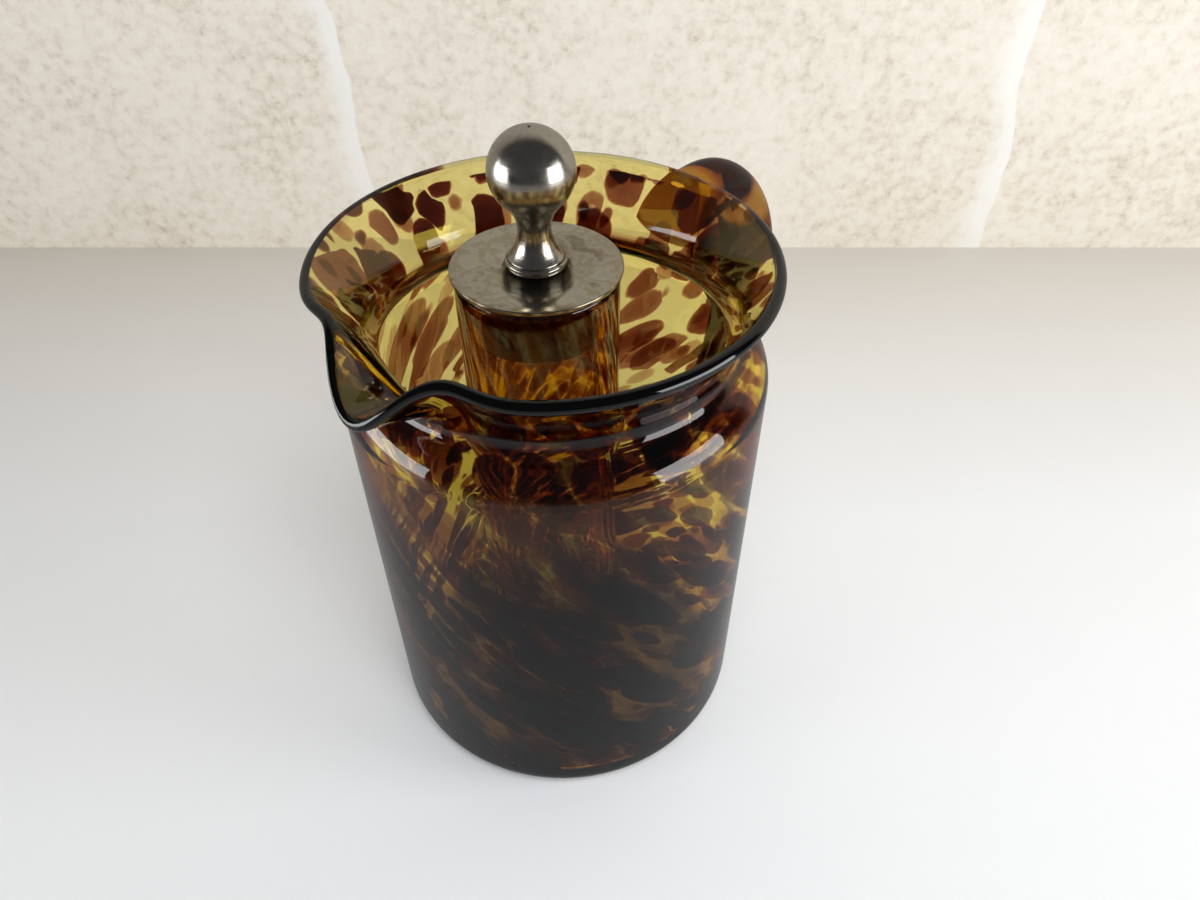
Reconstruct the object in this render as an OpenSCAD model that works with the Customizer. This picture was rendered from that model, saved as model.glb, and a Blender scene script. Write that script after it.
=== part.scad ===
// Blown glass cocktail pitcher with a loose glass ice tube and a metal lid that plugs the tube.
// Origin: centre of the base on the body's axis. +Z is up, +X the handle side, -X the spout side.

/* [Body] */
// Outer radius of the straight body
body_r = 75; // [60:0.5:90]
// Thickness of the glass wall
wall = 4.5; // [3:0.1:6]
// Thickness of the glass floor
floor_t = 8; // [5:0.5:12]
// Rounding of the foot, outside
foot_r = 10; // [6:0.5:14]
// Rounding where the floor meets the wall, inside
floor_corner_r = 7; // [4:0.5:10]
// Height at which the shoulder starts
shoulder_z = 167; // [140:1:190]
// Rounding of the shoulder
shoulder_r = 15; // [12:0.5:18]
// How far the neck is drawn in from the body, at its narrowest
neck_in = 11.2; // [7:0.1:14]
// Height of the narrowest place above the start of the shoulder
neck_rise = 18.5; // [16:0.5:24]

/* [Mouth] */
// How far the lip flares out past the neck, to the middle of the glass
mouth_out = 11.8; // [6:0.1:20]
// Height of the lip above the neck
mouth_rise = 24; // [18:0.5:32]
// Thickness of the fire-polished lip
lip_t = 4.2; // [3:0.1:6]
// Angle of the flare at the lip, from upright
flare_angle = 50; // [30:1:60]
// How far the hand-finished mouth sits off the axis towards the handle
mouth_shift_x = -0.8; // [-3:0.1:3]
// How far the hand-finished mouth sits off the axis sideways
mouth_shift_y = 2; // [-3:0.1:3]

/* [Spout] */
// How far the spout reaches out past the lip
spout_reach = 8.5; // [4:0.5:14]
// How far the spout dips below the lip
spout_drop = 14; // [6:0.5:18]
// Half angle of the spout's reach
spout_angle = 12; // [8:0.5:20]
// Half angle of the spout's dip
spout_drop_angle = 10.5; // [8:0.5:20]
// How far the lip is pressed in on each side of the spout
pinch_in = 4; // [0:0.5:6]
// How far the lip rises on each side of the spout
pinch_rise = 1.5; // [0:0.5:5]
// Angle from the spout to each pressed-in place
pinch_at = 19; // [14:1:30]
// Half angle of each pressed-in place
pinch_angle = 10; // [6:0.5:16]

/* [Handle] */
// Width of the handle's glass rod, side to side
handle_w = 23; // [16:0.5:28]
// Thickness of the rod, seen from the side
handle_t = 21; // [14:0.5:26]
// How much thinner the rod is at its lower end, as a share
handle_taper_share = 0.18; // [0:0.01:0.3]
// How much wider the rod is pressed at each end, as a share
handle_splay_share = 0.16; // [0:0.01:0.3]
// Reach of the rod's middle line past the body
handle_reach = 58.5; // [45:0.5:75]
// Height of the loop's widest place
handle_z = 141; // [120:1:150]
// Rise of the middle line above the widest place
handle_rise = 62; // [50:1:68]
// Drop of the middle line below the widest place
handle_drop = 76; // [55:1:90]
// How far the upper end sags on its way to the neck
handle_sag = 9; // [4:0.5:14]
// How deep the handle's ends are fused into the glass
fuse_depth = 1; // [0.5:0.1:2]

/* [Ice tube] */
// Outer radius of the ice tube
tube_r = 27.5; // [22:0.5:32]
// Wall of the ice tube
tube_wall = 7; // [4:0.5:9]
// Thickness of the ice tube's floor
tube_floor_t = 9; // [5:0.5:14]
// Length of the ice tube
tube_len = 198.3; // [150:0.1:230]
// Rounding of the ice tube's foot
tube_foot_r = 4; // [2:0.5:8]
// Rounding of each edge of the rim
tube_rim_r = 2.8; // [1:0.1:3]
// Where the loose tube stands, towards the handle
tube_x = -3.1; // [-8:0.1:8]
// Where the loose tube stands, sideways
tube_y = 3.9; // [-8:0.1:8]

/* [Lid] */
// Radius of the lid's plate
lid_r = 28.6; // [23:0.1:36]
// Thickness of the lid's plate
lid_t = 1.6; // [1:0.1:3]
// Rounding of the plate's upper edge
lid_edge_r = 0.5; // [0.2:0.1:0.8]
// Depth of the cup that plugs the tube
plug_depth = 22; // [14:0.5:32]
// Sheet thickness of the plug
plug_t = 1.2; // [0.8:0.1:2]
// Rounding of the plug's shoulder
plug_corner_r = 2.5; // [1.5:0.1:4]
// Gap between the plug and the tube's bore
plug_gap = 0.4; // [0.3:0.05:1]

/* [Knob] */
// Radius of the ball
ball_r = 13.7; // [10:0.1:17]
// Height of the ball's centre above the plate
ball_z = 31.8; // [28:0.1:36]
// Radius of the stem at its waist
stem_r = 5.5; // [4.5:0.1:7]
// Height at which the stem starts to widen into the ball
stem_top_z = 13.2; // [12:0.1:14]
// Radius of the concave foot of the stem
stem_flare_r = 5.6; // [4:0.1:7]
// Radius of the round bead at the foot, across its middle
bead_reach = 8.8; // [7.5:0.1:10]
// Radius of the bead's own section
bead_r = 1.6; // [1:0.1:2]
// Radius of the flat ring that the knob stands on
ring_r = 9.7; // [8:0.1:10]
// Height of that ring
ring_h = 0.9; // [0.5:0.1:1.5]
// Radius of the centre mark on top of the ball
mark_r = 0.5; // [0.3:0.1:1]
// Depth of the centre mark
mark_depth = 1; // [0.5:0.1:2]

/* [Fastening] */
// Diameter of the screw
screw_d = 4; // [3:0.5:5]
// Diameter of the tapped hole before its thread is cut
tap_d = 3.4; // [2.5:0.1:4.2]
// Length of the screw in the knob
screw_grip = 8.5; // [6:0.5:10]
// Clearance all round the screw in the sheet parts
screw_gap = 0.2; // [0.1:0.05:0.5]
// Diameter of the screw's head
head_d = 8; // [6:0.5:10]
// Height of the screw's head
head_h = 2.6; // [2:0.1:4]
// Width of the screwdriver slot
slot_w = 1; // [0.8:0.1:1.4]
// Depth of the screwdriver slot
slot_depth = 1.1; // [0.8:0.1:1.4]
// Diameter of the washer
washer_d = 12; // [10:0.5:18]
// Thickness of the washer
washer_t = 1; // [0.8:0.1:1.6]

/* [Hidden] */
glass_tint = [0.62, 0.42, 0.10, 0.55];
plate_tint = [0.62, 0.61, 0.57];
$fn = 96;
// Overrun of every cut
over = 1;
// How far the mouth is sunk into the neck, and its step back from the neck's faces
seat = 1;
seat_step = 0.1;
// Steps of the curves: around the mouth, up the flare, around the lip, along and around the handle
mouth_steps = 96;
flare_steps = 7;
flare_start_share = 0.03;
lip_steps = 6;
handle_steps = 30;
handle_sides = 16;
arc_steps = 9;
// The handle's middle line runs from the first of these angles of its loop to the second, and its upper
// end sags from the third one on
handle_top_angle = 100;
handle_foot_angle = -95;
handle_sag_angle = 62;
// Length of each pressed end, as a share of the rod
splay_share = 0.07;
// The knob's bead turns this far each way from its middle, and the stem's hollow foot this far from upright
bead_angle = 60;
stem_foot_angle = 55;
neck_z = shoulder_z + neck_rise;
neck_r = body_r - neck_in;
mouth_r = neck_r + mouth_out;
shoulder_x = body_r - shoulder_r;
// The hollow curve below the neck touches the shoulder's round and the upright at the neck
hollow_in = neck_r - shoulder_x;
hollow_r = (hollow_in^2 + neck_rise^2 - shoulder_r^2) / (2 * (shoulder_r - hollow_in));
hollow_x = neck_r + hollow_r;
hollow_angle = atan2(neck_rise, hollow_x - shoulder_x);
lid_z = floor_t + tube_len;
knob_z = lid_z + lid_t;
plug_r = tube_r - tube_wall - plug_gap;
web_z = lid_z - plug_t;
washer_z = web_z - washer_t;
// The stem's upper curve touches the waist and the ball
stem_curve_r = (stem_r^2 + (ball_z - stem_top_z)^2 - ball_r^2) / (2 * (ball_r - stem_r));
stem_curve_angle = atan2(ball_z - stem_top_z, stem_r + stem_curve_r);

function arc(x, y, r, from, to, steps = arc_steps) =
    [for (i = [0:steps]) let (a = from + (to - from) * i / steps) [x + r * cos(a), y + r * sin(a)]];

// A smooth lobe of 1 at its middle, used for the spout and the pressed-in places beside it
function lobe(angle, width) = exp(-(angle / width)^2);
function pinches(angle) = lobe(angle - pinch_at, pinch_angle) + lobe(angle + pinch_at, pinch_angle);
function lip_radius(angle) = mouth_r + spout_reach * lobe(angle, spout_angle) - pinch_in * pinches(angle);
function lip_height(angle) = mouth_rise - spout_drop * lobe(angle, spout_drop_angle)
    + pinch_rise * pinches(angle);

// The flare's middle line at one angle from the spout: u runs from 0 at the neck to 1 at the lip
neck_mid = neck_r - wall / 2;
function flare_out(u) = (1 - cos(flare_angle * u)) / (1 - cos(flare_angle));
function flare_up(u) = sin(flare_angle * u) / sin(flare_angle);
function flare_point(angle, u) =
    [neck_mid + (lip_radius(angle) - neck_mid) * flare_out(u), neck_z + lip_height(angle) * flare_up(u)];
function flare_slope(angle, u) =
    atan2(lip_height(angle) * cos(flare_angle * u) / sin(flare_angle),
        (lip_radius(angle) - neck_mid) * sin(flare_angle * u) / (1 - cos(flare_angle)));
function flare_half(u) = (wall - 2 * seat_step) / 2 * (1 - u) + lip_t / 2 * u;
function flare_step(i) = flare_start_share + (1 - flare_start_share) * i / flare_steps;
function flare_side(angle, u, side) =
    let (p = flare_point(angle, u), a = flare_slope(angle, u) + side * 90, h = flare_half(u))
    [p[0] + h * cos(a), p[1] + h * sin(a)];

// Closed section of the mouth: up the outside, over the round lip, down the inside
function mouth_section(angle) = concat(
    [[neck_mid + flare_half(0), neck_z - seat]],
    [for (i = [0:flare_steps]) flare_side(angle, flare_step(i), -1)],
    [for (i = [1:lip_steps - 1])
        let (p = flare_point(angle, 1), a = flare_slope(angle, 1) - 90 + 180 * i / lip_steps)
        [p[0] + lip_t / 2 * cos(a), p[1] + lip_t / 2 * sin(a)]],
    [for (i = [flare_steps:-1:0]) flare_side(angle, flare_step(i), 1)],
    [[neck_mid - flare_half(0), neck_z - seat]]);

// Joins rings of points, all of one size, into a closed loop of faces
function ring_faces(rings, sides) =
    [for (i = [0:rings - 1], j = [0:sides - 1], k = [0:1])
        let (a = i * sides + j, b = i * sides + (j + 1) % sides,
            c = ((i + 1) % rings) * sides + j, d = ((i + 1) % rings) * sides + (j + 1) % sides)
        k == 0 ? [a, c, b] : [b, c, d]];

module mouth() {
    sides = len(mouth_section(0));
    points = [for (i = [0:mouth_steps - 1])
        let (turn = 360 * i / mouth_steps, section = mouth_section(turn > 180 ? turn - 360 : turn))
        for (p = section)
            let (lift = max(0, (p[1] - neck_z) / mouth_rise), a = 180 - turn)
            [p[0] * cos(a) + mouth_shift_x * lift, p[0] * sin(a) + mouth_shift_y * lift, p[1]]];
    polyhedron(points, ring_faces(mouth_steps, sides));
}

// Outline of the glass below the neck: outside up, inside down
body_outside = concat(
    [[0, 0]],
    arc(body_r - foot_r, foot_r, foot_r, -90, 0),
    arc(shoulder_x, shoulder_z, shoulder_r, 0, hollow_angle),
    arc(hollow_x, neck_z, hollow_r, 180 + hollow_angle, 180));
body_inside = concat(
    arc(hollow_x, neck_z, hollow_r + wall, 180, 180 + hollow_angle),
    arc(shoulder_x, shoulder_z, shoulder_r - wall, hollow_angle, 0),
    arc(body_r - wall - floor_corner_r, floor_t + floor_corner_r, floor_corner_r, 0, -90),
    [[0, floor_t]]);

module pitcher_body() {
    color(glass_tint) {
        rotate_extrude() polygon(concat(body_outside, body_inside));
        mouth();
    }
}

// Middle line of the handle in the XZ plane, and how far along it a place lies
function handle_angle(u) = handle_top_angle + (handle_foot_angle - handle_top_angle) * u;
function handle_sagging(a) =
    handle_sag * pow(max(0, (a - handle_sag_angle) / (handle_top_angle - handle_sag_angle)), 2);
function handle_point(u) =
    let (a = handle_angle(u))
    [body_r + handle_reach * cos(a),
        handle_z + (a > 0 ? handle_rise : handle_drop) * sin(a) - handle_sagging(a)];
function handle_size(u) = (1 - handle_taper_share * u)
    * (1 + handle_splay_share * (lobe(u, splay_share) + lobe(1 - u, splay_share)));
function handle_ring(u) =
    let (p = handle_point(u), ahead = handle_point(u + 0.5 / handle_steps),
        behind = handle_point(u - 0.5 / handle_steps),
        along = atan2(ahead[1] - behind[1], ahead[0] - behind[0]), s = handle_size(u))
    [for (j = [0:handle_sides - 1])
        let (a = 360 * j / handle_sides, out = handle_t / 2 * s * cos(a))
        [p[0] - out * sin(along), handle_w / 2 * s * sin(a), p[1] + out * cos(along)]];

module handle_rod() {
    ends = handle_steps * handle_sides;
    points = [for (i = [0:handle_steps]) for (p = handle_ring(i / handle_steps)) p];
    walls = [for (i = [0:handle_steps - 1], j = [0:handle_sides - 1], k = [0:1])
        let (a = i * handle_sides + j, b = i * handle_sides + (j + 1) % handle_sides)
        k == 0 ? [a, b, a + handle_sides] : [b, b + handle_sides, a + handle_sides]];
    polyhedron(points, concat(walls,
        [[for (j = [handle_sides - 1:-1:0]) j]],
        [[for (j = [0:handle_sides - 1]) ends + j]]));
}

// The glass that the handle is fused to, less the depth of the fusing
module handle_seat() {
    side = body_r - fuse_depth;
    flare = [for (i = [0:flare_steps])
        let (p = flare_side(180, i / flare_steps, -1)) [p[0] - fuse_depth, p[1]]];
    tip = flare[flare_steps];
    rotate_extrude() polygon(concat(
        [[0, 0], [side, 0], [side, shoulder_z]],
        arc(shoulder_x, shoulder_z, shoulder_r - fuse_depth, 0, hollow_angle),
        flare,
        [[tip[0], tip[1] + handle_w], [0, tip[1] + handle_w]]));
}

module handle() {
    color(glass_tint) difference() {
        handle_rod();
        handle_seat();
    }
}

module ice_tube() {
    bore = tube_r - tube_wall;
    color(glass_tint) translate([tube_x, tube_y, floor_t]) rotate_extrude() polygon(concat(
        [[0, 0]],
        arc(tube_r - tube_foot_r, tube_foot_r, tube_foot_r, -90, 0),
        arc(tube_r - tube_rim_r, tube_len - tube_rim_r, tube_rim_r, 0, 90),
        arc(bore + tube_rim_r, tube_len - tube_rim_r, tube_rim_r, 90, 180),
        arc(bore - tube_wall, tube_floor_t + tube_wall, tube_wall, 0, -90),
        [[0, tube_floor_t]]));
}

module lid_plate() {
    hole = screw_d / 2 + screw_gap;
    color(plate_tint) translate([tube_x, tube_y, lid_z]) rotate_extrude() polygon(concat(
        [[hole, 0], [lid_r, 0]],
        arc(lid_r - lid_edge_r, lid_t - lid_edge_r, lid_edge_r, 0, 90),
        [[hole, lid_t]]));
}

// Drawn sheet cup, mouth down: its web lies under the plate and its wall plugs the tube
module plug_cup() {
    hole = screw_d / 2 + screw_gap;
    color(plate_tint) translate([tube_x, tube_y, lid_z]) rotate_extrude() polygon(concat(
        [[hole, 0]],
        arc(plug_r - plug_corner_r, -plug_corner_r, plug_corner_r, 90, 0),
        arc(plug_r - plug_t / 2, plug_t / 2 - plug_depth, plug_t / 2, 0, -180),
        arc(plug_r - plug_corner_r, -plug_corner_r, plug_corner_r - plug_t, 0, 90),
        [[hole, -plug_t]]));
}

// Turned knob: ring, groove, bead, concave stem and ball in one piece, tapped from below
module knob() {
    bead_z = ring_h + bead_r;
    flare_z = bead_z + bead_r * sin(bead_angle);
    color(plate_tint) translate([tube_x, tube_y, knob_z]) difference() {
        rotate_extrude() polygon(concat(
            [[0, 0], [ring_r, 0], [ring_r, ring_h / 2], [ring_r - ring_h / 2, ring_h]],
            arc(bead_reach, bead_z, bead_r, -bead_angle, bead_angle),
            arc(stem_r + stem_flare_r, flare_z + stem_flare_r, stem_flare_r, 180 + stem_foot_angle, 180),
            arc(stem_r + stem_curve_r, stem_top_z, stem_curve_r, 180, 180 - stem_curve_angle),
            arc(0, ball_z, ball_r, stem_curve_angle - 90, 90, 2 * arc_steps)));
        translate([0, 0, -over]) cylinder(h = screw_grip + 2 * over, d = tap_d);
        translate([0, 0, ball_z + ball_r - mark_depth]) cylinder(h = mark_depth + over, r = mark_r);
    }
}

module lid_screw() {
    shank = washer_t + plug_t + lid_t + screw_grip;
    color(plate_tint) translate([tube_x, tube_y, washer_z]) {
        cylinder(h = shank, d = screw_d);
        difference() {
            translate([0, 0, -head_h]) cylinder(h = head_h, d = head_d);
            translate([-head_d, -slot_w / 2, -head_h - over]) cube([2 * head_d, slot_w, slot_depth + over]);
        }
    }
}

module screw_washer() {
    color(plate_tint) translate([tube_x, tube_y, washer_z]) difference() {
        cylinder(h = washer_t, d = washer_d);
        translate([0, 0, -over]) cylinder(h = washer_t + 2 * over, d = screw_d + 2 * screw_gap);
    }
}

pitcher_body();
handle();
ice_tube();
lid_plate();
plug_cup();
knob();
lid_screw();
screw_washer();
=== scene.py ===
import math
import bmesh
import bpy
from mathutils import Matrix, Vector
from mathutils.bvhtree import BVHTree


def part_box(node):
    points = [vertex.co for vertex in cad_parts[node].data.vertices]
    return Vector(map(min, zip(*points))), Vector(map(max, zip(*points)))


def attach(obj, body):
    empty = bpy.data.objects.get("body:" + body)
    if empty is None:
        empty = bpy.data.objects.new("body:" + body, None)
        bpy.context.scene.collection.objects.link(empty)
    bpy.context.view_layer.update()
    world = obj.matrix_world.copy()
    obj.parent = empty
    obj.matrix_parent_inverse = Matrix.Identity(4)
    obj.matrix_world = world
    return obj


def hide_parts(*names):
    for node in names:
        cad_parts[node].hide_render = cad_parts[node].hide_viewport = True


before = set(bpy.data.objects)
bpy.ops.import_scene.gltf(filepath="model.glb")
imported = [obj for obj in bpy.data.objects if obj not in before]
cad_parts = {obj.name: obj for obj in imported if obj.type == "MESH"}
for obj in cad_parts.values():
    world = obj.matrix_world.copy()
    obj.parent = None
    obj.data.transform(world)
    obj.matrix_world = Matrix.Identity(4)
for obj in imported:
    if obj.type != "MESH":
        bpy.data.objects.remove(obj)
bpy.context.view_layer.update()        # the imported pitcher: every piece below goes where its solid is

mm = 0.001               # the dictionaries below are in millimetres and degrees


def linear(hexColour):
    channels = [int(hexColour[i:i + 2], 16) / 255 for i in (1, 3, 5)]
    return [c / 12.92 if c <= 0.04045 else ((c + 0.055) / 1.055) ** 2.4 for c in channels] + [1.0]


def addNode(tree, kind, settings=None, links=None):
    node = tree.nodes.new(kind)
    for name, value in (settings or {}).items():
        if isinstance(name, int) or name in node.inputs:
            node.inputs[name].default_value = value
        else:
            setattr(node, name, value)
    for name, source in (links or {}).items():
        tree.links.new(source, node.inputs[name])
    return node


def newMaterial(name):
    material = bpy.data.materials.new(name)
    material.use_nodes = True
    material.node_tree.nodes.clear()
    return material, material.node_tree


def setRamp(node, stops):
    ramp = node.color_ramp
    while len(ramp.elements) < len(stops):
        ramp.elements.new(1.0)
    for element, (place, colour) in zip(ramp.elements, stops):
        element.position = place
        element.color = colour
    return node


def arc(x, z, radius, start, end, steps):
    angles = [math.radians(start + (end - start) * i / steps) for i in range(steps + 1)]
    return [(x + radius * math.cos(a), z + radius * math.sin(a)) for a in angles]


def spinSection(section, steps, middle=(0, 0, 0), closed=False):
    # spins a half section round a vertical axis through middle. Each place is (radius, height) in millimetres,
    # and glass adds how far up the flare it lies and its side, from -1 outside to 1 inside
    bm = bmesh.new()
    layers = {name: bm.verts.layers.float.new(name) for name in ("up", "side", "length")}
    verts = []
    length = 0.0
    for x, z, *more in section:
        verts.append(bm.verts.new((x * mm, 0, z * mm)))
        length += (verts[-1].co - verts[-2].co).length if len(verts) > 1 else 0.0
        for name, value in zip(("up", "side", "length"), more + [length] if more else ()):
            verts[-1][layers[name]] = value
    for below, above in zip(verts, verts[1:] + verts[:1] if closed else verts[1:]):
        bm.edges.new((below, above))
    bmesh.ops.spin(bm, geom=bm.verts[:] + bm.edges[:], cent=(0, 0, 0), axis=(0, 0, 1), dvec=(0, 0, 0),
                   angle=2 * math.pi, steps=steps, use_merge=True, use_duplicate=False)
    bmesh.ops.remove_doubles(bm, verts=bm.verts[:], dist=1e-7)
    bmesh.ops.recalc_face_normals(bm, faces=bm.faces[:])
    bmesh.ops.translate(bm, vec=middle, verts=bm.verts[:])
    return bm


def makePiece(name, bm, material, body, node):
    mesh = bpy.data.meshes.new(name)
    bm.to_mesh(mesh)
    bm.free()
    mesh.shade_smooth()
    mesh.materials.append(material)
    piece = bpy.data.objects.new(name, mesh)
    bpy.context.scene.collection.objects.link(piece)
    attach(piece, body)
    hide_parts(node)
    return piece


# Camera: solved from the ellipses of the rim, the lid and the base, and from the line behind the table
camera = {
    "place": (-186.4, -171.2, 359.5), "lens": 26.55, "sensor": 36,
    "pitch": 47.13,      # up from straight down
    "heading": 39,       # the way it looks, as an azimuth seen from above
}
aheadTurn = math.radians(camera["heading"] - 90)     # turns +Y to the way the camera looks


def makeCamera():
    data = bpy.data.cameras.new("photoCamera")
    data.lens = camera["lens"]
    data.sensor_width = camera["sensor"]
    data.clip_start = 0.01
    viewer = bpy.data.objects.new("photoCamera", data)
    viewer.location = [c * mm for c in camera["place"]]
    viewer.rotation_euler = (math.radians(camera["pitch"]), 0, aheadTurn)
    bpy.context.scene.collection.objects.link(viewer)
    bpy.context.scene.camera = viewer
    bpy.context.scene.view_settings.view_transform = "Standard"


# Studio: a pale table top against a pale limestone slab. The windows are what the glass and the metal mirror, the
# soft lamps light the table and the slab
studio = {
    "tableSize": 7000, "tableDrop": 0.3, "tableShadeFrom": 80, "tableCloud": 333,
    "wallDistance": 371, "wallWidth": 7000, "wallHeight": 2600, "wallCloud": 90.9, "wallGrain": 7.69,
    "veins": ({"across": -149, "lean": -0.08}, {"across": 321, "lean": -0.07}), "veinWidth": 22, "veinWander": 30,
    "tableMirrored": 0.45, "wallMirrored": 0.5,     # how bright the glass and the metal mirror them
    "lampColour": (0.97, 0.99, 1.0), "aimHeight": 120,
}
lamps = {      # seen by mirroring surfaces alone, by plain ones alone, or by plain ones also through the glass
    "windowLeft": {"side": -1225, "ahead": -240, "height": 265, "size": (900, 520), "watts": 9.5, "seen": "mirrors"},
    "windowRight": {"side": 1197, "ahead": -500, "height": 340, "size": (900, 670), "watts": 12.0, "seen": "mirrors"},
    "softLeft": {"side": -1150, "ahead": -450, "height": 560, "size": (520, 700), "watts": 2.6, "seen": "through"},
    "softRight": {"side": 1300, "ahead": -230, "height": 560, "size": (560, 640), "watts": 9.3, "seen": "through"},
    "softAbove": {"side": 150, "ahead": -520, "height": 950, "size": (600, 600), "watts": 8.2, "seen": "plain"},
}


def dimWhereMirrored(tree, colour, share):
    # the glass and the metal mirror the table and the slab as if they ended near the photograph's frame
    path = addNode(tree, "ShaderNodeLightPath")
    mirrored = addNode(tree, "ShaderNodeMath", {"operation": "SUBTRACT"},
                       {0: path.outputs["Is Glossy Ray"], 1: path.outputs["Is Transmission Ray"]})
    shade = addNode(tree, "ShaderNodeMapRange", {"To Min": 1.0, "To Max": share}, {"Value": mirrored.outputs[0]})
    seen = addNode(tree, "ShaderNodeVectorMath", {"operation": "SCALE"}, {0: colour, "Scale": shade.outputs[0]})
    return seen.outputs[0]


def alongWall(tree):
    # coordinates in metres to the right, ahead and up as the camera sees them
    place = addNode(tree, "ShaderNodeTexCoord")
    turned = addNode(tree, "ShaderNodeMapping", {"Rotation": (0, 0, -aheadTurn)},
                     {"Vector": place.outputs["Object"]})
    return turned, addNode(tree, "ShaderNodeSeparateXYZ", links={"Vector": turned.outputs[0]})


def makeTableMaterial():
    # Honed quartz table top: almost white, a soft wide gloss, no grain to speak of. Painted shade makes it greyer and
    # warmer towards the wall
    material, tree = newMaterial("honedQuartzTable")
    turned, parts = alongWall(tree)
    cloud = addNode(tree, "ShaderNodeTexNoise", {"Scale": 1 / (studio["tableCloud"] * mm), "Detail": 3.0},
                    {"Vector": turned.outputs[0]})
    # painted shade: the table is painted darker from near the pitcher out to the wall
    wallShade = addNode(tree, "ShaderNodeMapRange",
                   {"From Min": studio["tableShadeFrom"] * mm, "From Max": studio["wallDistance"] * mm},
                   {"Value": parts.outputs["Y"]})
    cloudAndWallShade = addNode(tree, "ShaderNodeMath", {"operation": "MULTIPLY_ADD", 1: 0.08},
                  {0: cloud.outputs["Fac"], 2: wallShade.outputs[0]})
    tone = setRamp(addNode(tree, "ShaderNodeValToRGB", links={"Fac": cloudAndWallShade.outputs[0]}),
                   [(0.0, linear("#ECEDEF")), (1.0, linear("#D6D0C7"))])
    colour = dimWhereMirrored(tree, tone.outputs["Color"], studio["tableMirrored"])
    shader = addNode(tree, "ShaderNodeBsdfPrincipled", {"Roughness": 0.42, "Specular IOR Level": 0.35},
                     {"Base Color": colour})
    addNode(tree, "ShaderNodeOutputMaterial", links={"Surface": shader.outputs[0]})
    return material


def makeWallMaterial():
    # Sawn limestone slab: warm white, finely mottled, with two pale mineral veins that have one sharp side.
    # Its back is see-through, for views from behind
    material, tree = newMaterial("sawnLimestoneSlab")
    turned, parts = alongWall(tree)
    cloud = addNode(tree, "ShaderNodeTexNoise", {"Scale": 1 / (studio["wallCloud"] * mm), "Detail": 3.0},
                    {"Vector": turned.outputs[0]})
    grain = addNode(tree, "ShaderNodeTexNoise", {"Scale": 1 / (studio["wallGrain"] * mm), "Detail": 5.0,
                                                 "Roughness": 0.7}, {"Vector": turned.outputs[0]})
    mottle = addNode(tree, "ShaderNodeMath", {"operation": "MULTIPLY_ADD", 1: 0.5},
                     {0: cloud.outputs["Fac"], 2: grain.outputs["Fac"]})
    tone = setRamp(addNode(tree, "ShaderNodeValToRGB", links={"Fac": mottle.outputs[0]}),
                   [(0.5, linear("#D3C5B2")), (0.62, linear("#E9DFD0")), (0.74, linear("#F4EBDD")),
                    (0.9, linear("#F9F2E6"))])
    colour = tone.outputs["Color"]
    sharpSide = studio["veinWander"] / 2 * mm
    for vein in studio["veins"]:
        middle = addNode(tree, "ShaderNodeMath", {"operation": "MULTIPLY_ADD", 1: -vein["lean"],
                                                  2: -vein["across"] * mm}, {0: parts.outputs["Z"]})
        off = addNode(tree, "ShaderNodeMath", {"operation": "ADD"}, {0: parts.outputs["X"], 1: middle.outputs[0]})
        bent = addNode(tree, "ShaderNodeMath", {"operation": "MULTIPLY_ADD", 1: studio["veinWander"] * mm},
                       {0: cloud.outputs["Fac"], 2: off.outputs[0]})
        within = addNode(tree, "ShaderNodeMapRange", {"From Min": sharpSide - studio["veinWidth"] * mm,
                                                      "From Max": sharpSide}, {"Value": bent.outputs[0]})
        band = setRamp(addNode(tree, "ShaderNodeValToRGB", links={"Fac": within.outputs[0]}),
                       [(0.0, (0, 0, 0, 1)), (0.6, (0.8, 0.8, 0.8, 1)), (0.93, (0.9, 0.9, 0.9, 1)),
                        (0.99, (0, 0, 0, 1))])
        colour = addNode(tree, "ShaderNodeMix", {"data_type": "RGBA", 7: linear("#FFFDF8")},
                         {0: band.outputs["Color"], 6: colour}).outputs[2]
    colour = dimWhereMirrored(tree, colour, studio["wallMirrored"])
    shader = addNode(tree, "ShaderNodeBsdfPrincipled", {"Roughness": 0.9, "Specular IOR Level": 0.2},
                     {"Base Color": colour})
    clear = addNode(tree, "ShaderNodeBsdfTransparent")
    side = addNode(tree, "ShaderNodeNewGeometry")
    both = addNode(tree, "ShaderNodeMixShader", links={
        0: side.outputs["Backfacing"], 1: shader.outputs[0], 2: clear.outputs[0]})
    addNode(tree, "ShaderNodeOutputMaterial", links={"Surface": both.outputs[0]})
    return material


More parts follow.
